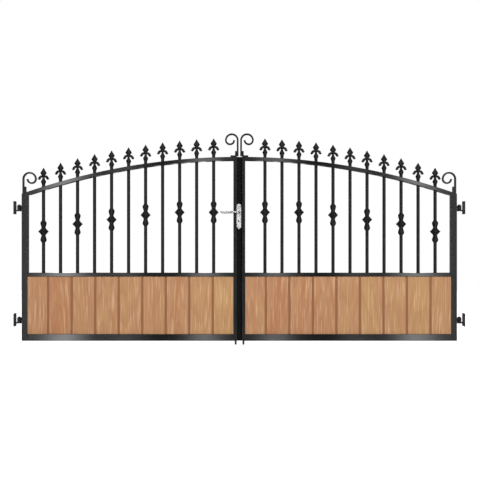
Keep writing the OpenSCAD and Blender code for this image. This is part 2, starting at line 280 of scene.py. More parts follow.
def satin_coat():
    """The same powder on the drawn round bars: their small curve and the drawing lines leave a
    duller, satin black that shows only a soft stripe of light."""
    made, tree, surface = new_material("satin black powder-coated bar")
    draw_mm = 2.0
    lines = noise(tree, drawn_out(tree, object_place(tree), (1.0, 1.0, 0.04)), draw_mm, 2.0)
    surface.inputs["IOR"].default_value = 1.5
    surface.inputs["Specular IOR Level"].default_value = 0.22
    feed(tree, surface, clouded(tree, lines, (0.3, 0.8), colours().bar_coating, 1.4),
         spread(tree, lines, 0.44, 0.54), relief(tree, lines, 0.03, 0.1 * MM))
    return made


def matt_rubber():
    """Extruded black rubber: fine die lines along its length and almost no shine."""
    made, tree, surface = new_material("matt black rubber strip")
    die_mm = 1.5
    lines = noise(tree, drawn_out(tree, object_place(tree), (1.0, 1.0, 0.02)), die_mm, 2.0)
    surface.inputs["IOR"].default_value = 1.5
    surface.inputs["Roughness"].default_value = 0.75
    surface.inputs["Specular IOR Level"].default_value = 0.12
    feed(tree, surface, clouded(tree, lines, (0.3, 0.75), colours().rubber, 2.5),
         normal=relief(tree, lines, 0.15, 0.2 * MM))
    return made


def recess_shade_coat():
    """Matt black on the lock stile, which lies deep between the leaves: a sheenless copy of the black
    coat that paints in the shade of that recess.
    """
    made, tree, surface = new_material("matt black steel as painted recess shade")
    grain_mm = 1.2
    grain = noise(tree, object_place(tree), grain_mm, 2.0)
    surface.inputs["IOR"].default_value = 1.5
    surface.inputs["Specular IOR Level"].default_value = 0.1
    feed(tree, surface, clouded(tree, grain, (0.3, 0.75), colours().rubber, 1.8),
         spread(tree, grain, 0.5, 0.65), relief(tree, grain, 0.12, 0.2 * MM))
    return made


def painted_casting():
    """Cast and forged ornaments under the same black: the skin is pitted by sand and scale, so the
    gloss breaks up and edges catch the light."""
    made, tree, surface = new_material("black coated cast iron")
    sand_mm = 1.6
    lump_mm = 25 / 3
    place = object_place(tree)
    sand = noise(tree, place, sand_mm, 3.0)
    lumps = noise(tree, place, lump_mm, 2.0)
    shallow = node(tree, "ShaderNodeMath", {1: 0.35}, {0: sand}, operation="MULTIPLY").outputs[0]
    both = node(tree, "ShaderNodeMath", links={0: shallow, 1: lumps}, operation="ADD").outputs[0]
    surface.inputs["IOR"].default_value = 1.5
    surface.inputs["Specular IOR Level"].default_value = 0.25
    feed(tree, surface, clouded(tree, lumps, (0.3, 0.8), colours().casting, 1.7),
         spread(tree, lumps, 0.38, 0.5), relief(tree, both, 0.18, 0.5 * MM))
    return made


def oiled_pine():
    """Softwood boards, planed and oiled: long streaks of reddish heart and golden sap wood, pale
    threads of early wood, a few narrow cathedral figures, and channels stained darker brown."""
    made, tree, surface = new_material("oiled softwood boards")
    fibre_mm = 1.8
    streak_mm = 5.0
    hue_mm = 34.0
    ring_mm = 16.0
    wave_period = 0.314
    board = node(tree, "ShaderNodeUVMap", uv_map="grain").outputs["UV"]
    tone = node(tree, "ShaderNodeAttribute", attribute_name="tone").outputs["Fac"]
    sunk = node(tree, "ShaderNodeAttribute", attribute_name="joint").outputs["Fac"]

    def streaks(size_mm, stretch, detail):
        """Noise that is size_mm wide across the board and drawn out along it."""
        return noise(tree, drawn_out(tree, board, (1.0, stretch, 1.0)), size_mm, detail)

    fibre = streaks(fibre_mm, 0.02, 3.0)
    hue = streaks(hue_mm, 0.16, 2.0)
    shifted = node(tree, "ShaderNodeMapRange", {"From Min": 0.3, "From Max": 0.7,
                                                "To Min": -0.3, "To Max": 0.3}, {"Value": hue})
    toned = node(tree, "ShaderNodeMath", links={0: tone, 1: shifted.outputs["Result"]},
                 operation="ADD", use_clamp=True)
    early = ramp(tree, toned.outputs[0],
                 [(0.0, rgba(colours().board_red)), (0.5, rgba(colours().board_tan)),
                  (1.0, rgba(colours().board_gold))])
    # pale threads, wherever the streaks run high
    thread = ramp(tree, streaks(streak_mm, 0.045, 2.0),
                  [(0.53, (0, 0, 0, 1)), (0.66, (0.62, 0.62, 0.62, 1))])
    pale = node(tree, "ShaderNodeMix", {"B": rgba(colours().pale_grain_and_edge_highlight)},
                {"Factor": thread.outputs["Color"], "A": early.outputs["Color"]}, data_type="RGBA")
    # the figure: rings round a point on the board, stretched by the shallow cut
    squash = drawn_out(tree, board, (1.0, 0.07, 1.0))
    drift = node(tree, "ShaderNodeTexNoise", {"Scale": 9.0, "Detail": 2.0}, {"Vector": squash})
    shift = node(tree, "ShaderNodeVectorMath", {1: (0.03, 0.03, 0.0)},
                 {0: drift.outputs["Color"]}, operation="MULTIPLY")
    bent = node(tree, "ShaderNodeVectorMath", links={0: squash, 1: shift.outputs[0]},
                operation="ADD")
    rings = node(tree, "ShaderNodeTexWave",
                 {"Scale": wave_period / (ring_mm * MM), "Distortion": 2.0, "Detail": 2.0,
                  "Detail Scale": 1.2}, {"Vector": bent.outputs[0]},
                 wave_type="RINGS", rings_direction="SPHERICAL", wave_profile="SAW")
    late_mask = ramp(tree, rings.outputs["Fac"], [(0.5, (0, 0, 0, 1)), (0.92, (0.24, 0.24, 0.24, 1)),
                                                  (1.0, (0.04, 0.04, 0.04, 1))])
    figured = node(tree, "ShaderNodeMix", {"B": rgba(colours().late_wood)},
                   {"Factor": late_mask.outputs["Color"], "A": pale.outputs["Result"]},
                   data_type="RGBA")
    # below 0 the joint value paints a pale highlight along the panel's outer edges
    painted_edge_highlight = node(tree, "ShaderNodeMath", {1: -1.0}, {0: sunk}, operation="MULTIPLY", use_clamp=True)
    edged = node(tree, "ShaderNodeMix", {"B": rgba(colours().pale_grain_and_edge_highlight)},
                 {"Factor": painted_edge_highlight.outputs[0], "A": figured.outputs["Result"]}, data_type="RGBA")
    stained = node(tree, "ShaderNodeMix", {"B": rgba(colours().joint)},
                   {"Factor": sunk, "A": edged.outputs["Result"]}, data_type="RGBA")
    strength = node(tree, "ShaderNodeMapRange", {"From Min": 0.25, "From Max": 0.75,
                                                 "To Min": 0.91, "To Max": 1.07}, {"Value": fibre})
    wood = node(tree, "ShaderNodeVectorMath",
                links={0: stained.outputs["Result"], "Scale": strength.outputs["Result"]},
                operation="SCALE")
    surface.inputs["IOR"].default_value = 1.45
    surface.inputs["Specular IOR Level"].default_value = 0.3
    feed(tree, surface, wood.outputs[0], spread(tree, fibre, 0.5, 0.7),
         relief(tree, fibre, 0.3, 0.3 * MM))
    return made


def satin_stainless():
    """Stainless steel rubbed with fine grit along its length: a soft bright sheen with hair lines,
    and slow waves left by the press that mottle what it reflects."""
    made, tree, surface = new_material("satin stainless steel")
    grit_mm = 0.8
    wave_mm = 9.0
    place = object_place(tree)
    hair = noise(tree, drawn_out(tree, place, (1.0, 1.0, 0.03)), grit_mm, 2.0)
    waves = noise(tree, place, wave_mm, 1.0)
    tint = ramp(tree, waves, [(0.35, shade(colours().stainless, 0.62)),
                              (0.6, rgba(colours().stainless))])
    bump = node(tree, "ShaderNodeBump", {"Strength": 0.06, "Distance": 0.1 * MM},
                {"Height": hair, "Normal": relief(tree, waves, 0.5, 0.8 * MM)})
    surface.inputs["Metallic"].default_value = 1.0
    feed(tree, surface, tint.outputs["Color"], spread(tree, hair, 0.16, 0.32),
         bump.outputs["Normal"])
    return made


def zinc_plate():
    """Bright zinc plating on screws, dulled a little by handling."""
    made, tree, surface = new_material("zinc-plated screws")
    cloud_mm = 25 / 9
    cloud = noise(tree, object_place(tree), cloud_mm, 3.0)
    tint = ramp(tree, cloud, [(0.3, shade(colours().zinc, 0.7)), (0.7, rgba(colours().zinc))])
    surface.inputs["Metallic"].default_value = 1.0
    surface.inputs["Roughness"].default_value = 0.42
    feed(tree, surface, tint.outputs["Color"])
    return made


def painted_slot_shade():
    """Painted shade: near-black oiled steel that stands for the dark inside of a keyhole or a screw's
    recess, which hardly sees the light.
    """
    made, tree, surface = new_material("oiled steel as painted keyhole shade")
    film_mm = 1.25
    oil = noise(tree, object_place(tree), film_mm, 2.0)
    tint = ramp(tree, oil, [(0.3, (0.004, 0.004, 0.004, 1)), (0.7, (0.012, 0.012, 0.012, 1))])
    surface.inputs["Roughness"].default_value = 0.5
    feed(tree, surface, tint.outputs["Color"])
    return made


MATERIAL_MAKERS = {
    "coat": powder_coat, "satin": satin_coat, "matt": recess_shade_coat, "rubber": matt_rubber,
    "casting": painted_casting, "timber": oiled_pine, "stainless": satin_stainless,
    "zinc": zinc_plate, "slot": painted_slot_shade}
_made = {}


def material(name):
    """The material of that name, made the first time that a piece asks for it."""
    if name not in _made:
        _made[name] = MATERIAL_MAKERS[name]()
    return _made[name]


# ---------------------------------------------------------------- mesh helpers

class Shape:
    """Points and faces of a piece that is put together from several forms."""

    def __init__(self):
        self.points = []
        self.faces = []

    def add(self, points, faces):
        start = len(self.points)
        self.points.extend(Vector(p) for p in points)
        self.faces.extend([start + i for i in face] for face in faces)
        return range(start, len(self.points))

    def rings(self, rings, closed_ends=True):
        """Skins a row of rings that have the same number of points."""
        count = len(rings[0])
        faces = []
        for r in range(len(rings) - 1):
            for i in range(count):
                j = (i + 1) % count
                faces.append([r * count + i, r * count + j, (r + 1) * count + j, (r + 1) * count + i])
        if closed_ends:
            faces.append(list(reversed(range(count))))
            faces.append([(len(rings) - 1) * count + i for i in range(count)])
        return self.add([p for ring in rings for p in ring], faces)

    def piece(self, name, material_name, body, smooth=True, replaced=()):
        """Makes the object, gives it its finish and hangs it on its body."""
        mesh = bpy.data.meshes.new(name)
        mesh.from_pydata(self.points, [], self.faces)
        mesh.polygons.foreach_set("use_smooth", [smooth] * len(mesh.polygons))
        work = bmesh.new()
        work.from_mesh(mesh)
        bmesh.ops.recalc_face_normals(work, faces=work.faces)
        work.to_mesh(mesh)
        work.free()
        mesh.materials.append(material(material_name))
        made = bpy.data.objects.new(name, mesh)
        bpy.context.scene.collection.objects.link(made)
        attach(made, body)
        if replaced:
            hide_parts(*replaced)
        return made


def circle_points(centre, axis_u, axis_v, radius_u, radius_v, count):
    return [centre + axis_u * radius_u * math.cos(2 * math.pi * i / count)
            + axis_v * radius_v * math.sin(2 * math.pi * i / count) for i in range(count)]


Y_AXIS = Vector((0, 1, 0))
Z_AXIS = Vector((0, 0, 1))


def lathe(shape, centre, profile, count=40, axis=Z_AXIS):
    """Turns a profile of (radius, height) points about an axis through centre."""
    side = Y_AXIS if abs(axis.z) > 0.5 else Z_AXIS
    axis_u = axis.cross(side).normalized()
    axis_v = axis.cross(axis_u)
    return shape.rings([circle_points(centre + axis * h, axis_u, axis_v, r, r, count)
                        for r, h in profile])


def smooth_path(points, steps):
    """Points on a Catmull-Rom curve through the given ones."""
    ends = [points[0] * 2 - points[1]] + list(points) + [points[-1] * 2 - points[-2]]
    path = []
    for i in range(len(points) - 1):
        a, b, c, d = ends[i:i + 4]
        for s in range(steps):
            t = s / steps
            path.append(0.5 * ((2 * b) + (c - a) * t + (2 * a - 5 * b + 4 * c - d) * t * t
                               + (3 * b - a - 3 * c + d) * t * t * t))
    path.append(points[-1].copy())
    return path


def sweep(shape, path, size_at, flat_axis, count=12):
    """Sweeps an oval along a path; size_at(t) gives its half sizes across and along flat_axis."""
    rings = []
    for i, point in enumerate(path):
        ahead = path[min(i + 1, len(path) - 1)] - path[max(i - 1, 0)]
        across = ahead.cross(flat_axis).normalized()
        across_size, flat_size = size_at(i / (len(path) - 1))
        rings.append(circle_points(point, across, flat_axis, across_size, flat_size, count))
    return shape.rings(rings)


# ---------------------------------------------------------------- coated CAD steelwork

def finish_node(name, material_name, edge):
    """Coats a CAD node and rounds its edges with modifiers."""
    steel = frame["nodes"][name]
    steel.data.materials.clear()
    steel.data.materials.append(material(material_name))
    weld = steel.modifiers.new("weld", "WELD")
    weld.merge_threshold = 0.02 * MM
    bevel = steel.modifiers.new("rounded edges", "BEVEL")
    bevel.width = edge
    bevel.segments = 3
    bevel.limit_method = "ANGLE"
    bevel.angle_limit = math.radians(35)
    bevel.harden_normals = True
    bevel.miter_outer = "MITER_ARC"


class GATE_OT_coat_steel(bpy.types.Operator):
    """Coats the stiles, rails, bars, scrolls, hinges and bolts, and rounds their rolled edges"""
    bl_idname = "gate.coat_steel"
    bl_label = "Coat the Steelwork"

    def execute(self, context):
        edge = sizes().edge_round
        # the lock stile's sheenless black is painted shade for the recess between the leaves
        finish_node("lock_stile", "matt", edge)
        for side in SIDES:
            for part in ("hinge_stile", "meeting_stile", "arch_rail", "middle_rail",
                         "bottom_rail", "hinge_scroll", "meeting_scroll"):
                finish_node(f"{side}_{part}", "coat", edge)
            finish_node(f"{side}_bars", "satin", edge * 0.3)
            finish_node(f"{side}_panel_strips", "coat", edge * 0.4)
            finish_node(f"{side}_bolt_guides", "coat", edge * 0.5)
            finish_node(f"{side}_drop_bolt", "coat", edge * 0.5)
            finish_node(f"{side}_hinge_eyes", "casting", edge * 0.6)
            for level in ("low", "high"):
                finish_node(f"bracket_{side}_{level}", "coat", edge * 0.6)
        return {"FINISHED"}


# ---------------------------------------------------------------- rubber seal

class GATE_OT_add_seal(bpy.types.Operator):
    """Fits the rubber strip whose soft lip meets the right leaf"""
    bl_idname = "gate.add_seal"
    bl_label = "Add the Seal"

    def execute(self, context):
        low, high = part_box("meeting_seal")
        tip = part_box("right_meeting_stile")[0].x - 0.05 * MM
        deep = (high.y - low.y) / 2
        middle = (high.y + low.y) / 2
        # a base against the stile, two hollow flanks and a lip at mid depth
        section = [(low.x, -deep), (low.x + 1.6 * MM, -deep), (high.x - 1.2 * MM, -deep * 0.55),
                   (high.x, -deep * 0.2), (tip, -0.8 * MM), (tip, 0.8 * MM), (high.x, deep * 0.2),
                   (high.x - 1.2 * MM, deep * 0.55), (low.x + 1.6 * MM, deep), (low.x, deep)]
        steps = 24
        levels = [low.z + (high.z - low.z) * s / steps for s in range(steps + 1)]
        shape = Shape()
        shape.rings([[Vector((x, middle + y, z)) for x, y in section] for z in levels])
        shape.piece("rubber_seal", "rubber", "left_leaf", smooth=False,
                    replaced=("meeting_seal",))
        return {"FINISHED"}


# ---------------------------------------------------------------- boards

def board_edges(low_x, high_x, pitch):
    """Where the boards meet: whole pitches laid out from the middle of the panel."""
    middle = (low_x + high_x) / 2
    count = max(1, round((high_x - low_x) / pitch))
    whole = [middle + (i - count / 2) * pitch for i in range(1, count)]
    return [low_x] + whole + [high_x]


def board_section(x0, x1, y0, y1, first, last):
    """(x, y, sunk) points of a board's section: half a channel, front and back, at each edge that
    meets another board. Sunk is 1 on the channel's bottom, 0 on the face and below 0 where the
    outer edge of the panel is planed off; there the value paints a pale highlight onto the bevel."""
    half = sizes().joint_width / 2
    depth = sizes().joint_depth
    crack = 0.05 * MM
    planed = 8 * MM
    slope = 1.0 * MM

    def half_channel(x, inward, y, into):
        edge = x + inward * crack
        return [(edge, y + into * depth, 1.0), (edge + inward * (half - slope), y + into * depth, 1.0),
                (edge + inward * half, y + into * slope, 0.7),
                (edge + inward * (half + slope * 0.8), y, 0.0)]

    # the -0.7 at the panel's outer edges marks a pale painted highlight along the bevel
    front_left = ([(x0, y0 + slope, -0.7), (x0 + planed, y0, 0.0)] if first
                  else half_channel(x0, 1, y0, 1))
    front_right = ([(x1 - planed, y0, 0.0), (x1, y0 + slope, -0.7)] if last
                   else half_channel(x1, -1, y0, 1)[::-1])
    back_right = [(x1, y1, 0.0)] if last else half_channel(x1, -1, y1, -1)
    back_left = [(x0, y1, 0.0)] if first else half_channel(x0, 1, y1, -1)[::-1]
    return front_left + front_right + back_right + back_left


def add_boards(side):
    low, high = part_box(f"{side}_timber_panel")
    rng = random.Random(f"boards of the {side} leaf")
    edges = board_edges(low.x, high.x, sizes().board_pitch)
    count = len(edges) - 1
    shape = Shape()
    owner = []
    sunk = []
    for i in range(count):
        proud = rng.uniform(0.0, 0.5) * MM
        section = board_section(edges[i], edges[i + 1], low.y + proud, high.y,
                                i == 0, i == count - 1)
        used = shape.rings([[Vector((x, y, z)) for x, y, _ in section] for z in (low.z, high.z)])
        owner.extend([i] * len(used))
        sunk.extend([share for _, _, share in section] * 2)
    made = shape.piece(f"{side}_boards", "timber", f"{side}_leaf", smooth=False,
                       replaced=(f"{side}_timber_panel",))
    mesh = made.data
    # tones run from reddish at the left to golden at the right, with some chance between boards
    tones = [min(0.9, max(0.1, 0.25 + 0.5 * (i + 0.5) / count + rng.uniform(-0.25, 0.25)))
             for i in range(count)]
    shifts = [(rng.uniform(-0.05, 0.05), rng.uniform(-6.0, 6.0)) for i in range(count)]
    mesh.attributes.new("tone", "FLOAT", "POINT").data.foreach_set("value", [tones[b] for b in owner])
    mesh.attributes.new("joint", "FLOAT", "POINT").data.foreach_set("value", sunk)
    grain = mesh.uv_layers.new(name="grain")
    for loop in mesh.loops:
        board = owner[loop.vertex_index]
        point = mesh.vertices[loop.vertex_index].co
        centre = (edges[board] + edges[board + 1]) / 2
        across, along = shifts[board]
        grain.data[loop.index].uv = (point.x - centre + point.y - low.y + across,
                                     point.z - low.z + along)
    return made


class GATE_OT_add_boards(bpy.types.Operator):
    """Fills both panels with softwood boards that meet in shallow channels"""
    bl_idname = "gate.add_boards"
    bl_label = "Add the Boards"

    def execute(self, context):
        for side in SIDES:
            add_boards(side)
        return {"FINISHED"}


# ---------------------------------------------------------------- collars

BALL_RADIUS = 20.5 * MM
BALL_OFFSET = 55 * MM


def bar_radius():
    low, high = islands("left_bars")[0]
    return (high.x - low.x) / 2


def collar_profile(bar, bulb, ball, half_height, ball_offset):
    """(radius, height) points of a collar from its foot to its top: bell-shaped balls that taper
    towards a sharp-edged bulb."""
    neck = bar + 2.4 * MM
    low_half = [(bar + 0.3 * MM, -half_height), (bar + 1.8 * MM, -half_height + 1 * MM),
                (bar + 2.2 * MM, -ball_offset - ball * 0.78), (ball * 0.8, -ball_offset - ball * 0.62),
                (ball * 0.93, -ball_offset - ball * 0.42), (ball * 0.995, -ball_offset - ball * 0.16),
                (ball, -ball_offset), (ball * 0.98, -ball_offset + ball * 0.16),
                (ball * 0.92, -ball_offset + ball * 0.38), (ball * 0.84, -ball_offset + ball * 0.66),
                (ball * 0.74, -ball_offset + ball * 0.98), (neck + 0.6 * MM, -ball_offset + ball * 1.24),
                (neck, -ball_offset + ball * 1.42), (neck + 0.4 * MM, -bulb * 0.74),
                (neck + 2.2 * MM, -bulb * 0.62), (neck + 6.5 * MM, -bulb * 0.46),
                (neck + 12.5 * MM, -bulb * 0.27), (bulb * 0.87, -bulb * 0.14),
                (bulb * 0.965, -bulb * 0.06), (bulb, 0.0)]
    return low_half + [(r, -h) for r, h in reversed(low_half[:-1])]


class GATE_OT_add_collars(bpy.types.Operator):
    """Turns the collars that sit on every other bar: a bulb between two balls"""
    bl_idname = "gate.add_collars"
    bl_label = "Add the Collars"

    def execute(self, context):
        bar = bar_radius()
        for side in SIDES:
            shape = Shape()
            for low, high in islands(f"{side}_collars"):
                bulb = (high.x - low.x) / 2 - 0.2 * MM
                profile = collar_profile(bar, bulb, BALL_RADIUS, (high.z - low.z) / 2, BALL_OFFSET)
                lathe(shape, (low + high) / 2, profile)
            shape.piece(f"{side}_turned_collars", "casting", f"{side}_leaf",
                        replaced=(f"{side}_collars",))
        return {"FINISHED"}


# ---------------------------------------------------------------- railheads

BLADE_HEIGHT = 56 * MM
BLADE_WIDTH = 43 * MM
BLADE_THICKNESS = 9 * MM
KNOB_RADIUS = 17.5 * MM
# corners of a blade's section, as shares of its half width and half thickness
RHOMB = [(1, 0), (0.4, 0.8), (0, 1), (-0.4, 0.8), (-1, 0), (-0.4, -0.8), (0, -1), (0.4, -0.8)]
# half width in millimetres of a railhead's arm, at shares of its length
ARM_WIDTHS = [(0.0, 6.0), (0.25, 8.6), (0.5, 9.4), (0.7, 8.4), (0.85, 5.2), (1.0, 0.8)]


def blade_rings(foot, height, width, thick):
    """Rings of a spear blade: a rhomb in section, widest low down, drawn out to a point."""
    outline = [(0.0, 0.5, 0.6), (0.08, 0.54, 0.7), (0.2, 0.8, 0.9), (0.3, 0.97, 1.0),
               (0.36, 1.0, 1.0), (0.42, 0.95, 1.0), (0.55, 0.71, 0.9), (0.7, 0.47, 0.75),
               (0.85, 0.25, 0.55), (0.95, 0.1, 0.3), (1.0, 0.02, 0.06)]
    rings = []
    for place, wide, deep in outline:
        w = width / 2 * wide
        t = thick / 2 * deep
        z = foot.z + height * place
        rings.append([Vector((foot.x + x * w, foot.y + y * t, z)) for x, y in RHOMB])
    return rings


def add_railhead(shape, foot, tall, span, bar):
    """A spear on a knob, with two stout arms that droop and turn outwards."""
    knob = KNOB_RADIUS
    stem = [(bar - 0.5 * MM, 0.0), (bar + 0.4 * MM, 3 * MM), (bar + 1 * MM, 11 * MM),
            (knob * 0.93, 20 * MM), (knob, 24 * MM), (knob * 0.95, 28 * MM), (13.0 * MM, 35 * MM),
            (9.5 * MM, 42 * MM), (8.0 * MM, 48 * MM), (7.4 * MM, tall - 68 * MM),
            (9.4 * MM, tall - 63 * MM), (11.6 * MM, tall - 58 * MM), (11.4 * MM, tall - 53 * MM),
            (9.5 * MM, tall - 49 * MM), (5.5 * MM, tall - 45 * MM)]
    lathe(shape, foot, stem, count=24)
    blade_foot = Vector((foot.x, foot.y, foot.z + tall - BLADE_HEIGHT))
    shape.rings(blade_rings(blade_foot, BLADE_HEIGHT - 0.2 * MM, BLADE_WIDTH, BLADE_THICKNESS))
    for turn in (-1, 1):
        outline = [(0, -60), (11, -59.5), (19, -62), (25, -68.5), (28.5, -74.5), (33, -75.5),
                   (span / 2 / MM - 0.4, -72.5)]
        points = [Vector((foot.x + turn * x * MM, foot.y, foot.z + tall + z * MM)) for x, z in outline]
        sweep(shape, smooth_path(points, 4), arm_size, Y_AXIS, count=12)


def arm_size(share):
    """Half sizes of a railhead's arm: stout like a leaf, and drawn to a point at the end."""
    for (low, start), (high, end) in zip(ARM_WIDTHS, ARM_WIDTHS[1:]):
        if share <= high:
            wide = start + (end - start) * (share - low) / (high - low)
            break
    return wide * MM, min(4.4, 1.0 + wide * 0.55) * MM


class GATE_OT_add_railheads(bpy.types.Operator):
    """Forges a spear railhead on top of each bar"""
    bl_idname = "gate.add_railheads"
    bl_label = "Add the Railheads"

    def execute(self, context):
        bar = bar_radius()
        for side in SIDES:
            shape = Shape()
            for low, high in islands(f"{side}_railheads"):
                foot = Vector(((low.x + high.x) / 2, (low.y + high.y) / 2, low.z))
                add_railhead(shape, foot, high.z - low.z, high.x - low.x, bar)
            shape.piece(f"{side}_forged_railheads", "casting", f"{side}_leaf",
                        replaced=(f"{side}_railheads",))
        return {"FINISHED"}


# ---------------------------------------------------------------- handle

# heights above the foot of the plate
SCREW_HEIGHTS = (28 * MM, 154 * MM)
KEYHOLE_HEIGHT = 60 * MM
HANDLE_SCREW_RADIUS = 3.6 * MM
FIELD_DEPTH = 0.8 * MM


def plate_outline(low, high, steps=16):
    """(x, z) points of the handle's plate: a round top and a foot drawn in to a point."""
    half = (high.x - low.x) / 2
    middle = (high.x + low.x) / 2
    top = high.z - half
    right = [(0.0, low.z), (half * 0.3, low.z + 3 * MM), (half * 0.62, low.z + 7 * MM),
             (half * 0.88, low.z + 12 * MM), (half * 0.97, low.z + 16 * MM), (half, low.z + 21 * MM)]
    right += [(half * math.cos(math.pi / 2 * s / steps), top + half * math.sin(math.pi / 2 * s / steps))
              for s in range(steps + 1)]
    left = [(-x, z) for x, z in reversed(right[1:-1])]
    return [(middle + x, z) for x, z in right + left]


def offset_outline(outline, inset):
    """The outline drawn in by a distance towards its own middle line."""
    made = []
    count = len(outline)
    for i, point in enumerate(outline):
        before = Vector(outline[i - 1])
        after = Vector(outline[(i + 1) % count])
        along = (after - before).normalized()
        inward = Vector((-along.y, along.x))
        made.append(tuple(Vector(point) + inward * inset))
    return made


def add_plate(shape, low, high, base_y, face_y):
    """A pressed plate with a rounded edge, a raised rim and a sunk field."""
    outward = 1 if face_y > base_y else -1
    outline = plate_outline(low, high)
    layers = [(0.0, base_y), (0.0, face_y - outward * 1.4 * MM), (0.5 * MM, face_y - outward * 0.5 * MM),
              (1.5 * MM, face_y), (2.6 * MM, face_y), (3.3 * MM, face_y - outward * FIELD_DEPTH)]
    rings = [[Vector((x, y, z)) for x, z in offset_outline(outline, inset)] for inset, y in layers]
    shape.rings(rings)


def add_screw(shape, centre, outward, radius):
    """A domed screw head with a round recess sunk in its middle."""
    profile = [(radius, 0.0), (radius, 0.25 * radius), (radius * 0.85, 0.42 * radius),
               (radius * 0.55, 0.55 * radius), (radius * 0.3, 0.58 * radius),
               (radius * 0.26, 0.3 * radius), (radius * 0.02, 0.25 * radius)]
    lathe(shape, centre, profile, count=20, axis=Y_AXIS * outward)


def add_lever(shape, neck, base_y, outward, reach, grip_y, length_mm):
    """A neck that leaves the plate and sweeps into a slim, slightly waved grip pointing left."""
    rose = [(11.5 * MM, 0.0), (11.5 * MM, 1.5 * MM), (10.5 * MM, 2.6 * MM), (8.6 * MM, 3.2 * MM),
            (7.4 * MM, 4.5 * MM)]
    start = Vector((neck.x, base_y, neck.z))
    lathe(shape, start, rose, count=28, axis=Y_AXIS * outward)
    points = [start,
              Vector((neck.x, base_y + outward * reach * 0.45, neck.z)),
              Vector((neck.x - 1 * MM, base_y + outward * reach * 0.8, neck.z)),
              Vector((neck.x - 7 * MM, grip_y - outward * 1.0 * MM, neck.z + 0.6 * MM)),
              Vector((neck.x - 18 * MM, grip_y, neck.z + 1.2 * MM))]
    for along, rise in ((38, 2.0), (60, 1.0), (82, -0.6), (102, -0.8), (116, 0.6)):
        points.append(Vector((neck.x - along * MM, grip_y, neck.z + rise * MM)))
    points.append(Vector((neck.x - (length_mm - 1.2) * MM, grip_y, neck.z + 2.6 * MM)))
    path = smooth_path(points, 6)

    def size_at(t):
        if t < 0.3:
            return 6.2 * MM, 6.2 * MM
        grip = (t - 0.3) / 0.7
        swell = math.sin(math.pi * min(1.0, grip * 1.25)) * 0.6
        end = 1.0 if grip < 0.93 else math.sqrt(max(0.02, 1 - ((grip - 0.93) / 0.07) ** 2))
        return (5.4 - 1.4 * grip + swell) * MM * end, (5.2 - 1.2 * grip) * MM * end

    rings = []
    for i, point in enumerate(path):
        ahead = (path[min(i + 1, len(path) - 1)] - path[max(i - 1, 0)]).normalized()
        upright = Z_AXIS - ahead * ahead.dot(Z_AXIS)
        upright.normalize()
        across = ahead.cross(upright)
        tall, deep = size_at(i / (len(path) - 1))
        rings.append(circle_points(point, upright, across, tall, deep, 16))
    shape.rings(rings)


def keyhole_outline(centre_x, centre_z, steps=12):
    """(x, z) points of a keyhole for a lever key: a round eye over a slot that widens."""
    eye = 3.6 * MM
    made = [(centre_x + eye * math.cos(math.radians(a)), centre_z + eye * math.sin(math.radians(a)))
            for a in [-50 + 280 * s / steps for s in range(steps + 1)]]
    made += [(centre_x - 2.6 * MM, centre_z - 13 * MM), (centre_x + 2.6 * MM, centre_z - 13 * MM)]
    return made


class GATE_OT_add_handle(bpy.types.Operator):
    """Fits the handle's plates, screws and keyholes, and the lever on each side"""
    bl_idname = "gate.add_handle"
    bl_label = "Add the Handle"

    def execute(self, context):
        plates = sorted(islands("handle_plates"), key=lambda box: box[0].y)
        lever_low, lever_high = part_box("lever_handle")
        spindle = frame_joint("lever_turn")
        plate_shape = Shape()
        screw_shape = Shape()
        hole_shape = Shape()
        lever_shape = Shape()
        for (low, high), outward in zip(plates, (-1, 1)):
            face_y = low.y if outward < 0 else high.y
            base_y = FRONT_Y if outward < 0 else REAR_Y
            add_plate(plate_shape, low, high, base_y, face_y)
            field_y = face_y - outward * FIELD_DEPTH
            middle = (low.x + high.x) / 2
            for height in SCREW_HEIGHTS:
                add_screw(screw_shape, Vector((middle, field_y, low.z + height)), outward,
                          HANDLE_SCREW_RADIUS)
            # each keyhole is a near-black plug in the field, painted shade rather than an open hole
            hole = keyhole_outline(middle, low.z + KEYHOLE_HEIGHT)
            ring = [Vector((x, field_y + outward * 0.25 * MM, z)) for x, z in hole]
            back = [Vector((x, field_y - outward * 1.0 * MM, z)) for x, z in hole]
            hole_shape.rings([back, ring])
            far_y = lever_low.y if outward < 0 else lever_high.y
            grip_y = far_y - outward * 5.6 * MM
            add_lever(lever_shape, spindle, field_y, outward, abs(grip_y - field_y), grip_y,
                      (spindle.x - lever_low.x) / MM)
        add_packing(plate_shape, plates)
        plate_shape.piece("handle_plate_pair", "stainless", "left_leaf",
                          smooth=False, replaced=("handle_plates",))
        screw_shape.piece("handle_screws", "stainless", "left_leaf")
        hole_shape.piece("keyholes", "slot", "left_leaf", smooth=False)
        lever_shape.piece("lever_pair", "stainless", "lever",
                          replaced=("lever_handle",))
        return {"FINISHED"}


def add_packing(shape, plates):
    """Blocks that carry the plates off the recessed lock stile."""
    low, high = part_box("lock_stile")
    for (plate_low, plate_high), outward in zip(plates, (-1, 1)):
        near_y = FRONT_Y if outward < 0 else REAR_Y
        far_y = low.y if outward < 0 else high.y
        corners = [(low.x + 2 * MM, plate_low.z + 20 * MM), (high.x - 2 * MM, plate_low.z + 20 * MM),
                   (high.x - 2 * MM, plate_high.z - 20 * MM), (low.x + 2 * MM, plate_high.z - 20 * MM)]
        shape.rings([[Vector((x, y, z)) for x, z in corners] for y in (near_y, far_y)])


def frame_joint(name):
    """Where a joint's axis stands."""
    for joint in frame["joints"]:
        if joint["name"] == name:
            return Vector(joint["pos_m"])
    raise RuntimeError(f"the frame has no joint named {name}")


# ---------------------------------------------------------------- small fixings

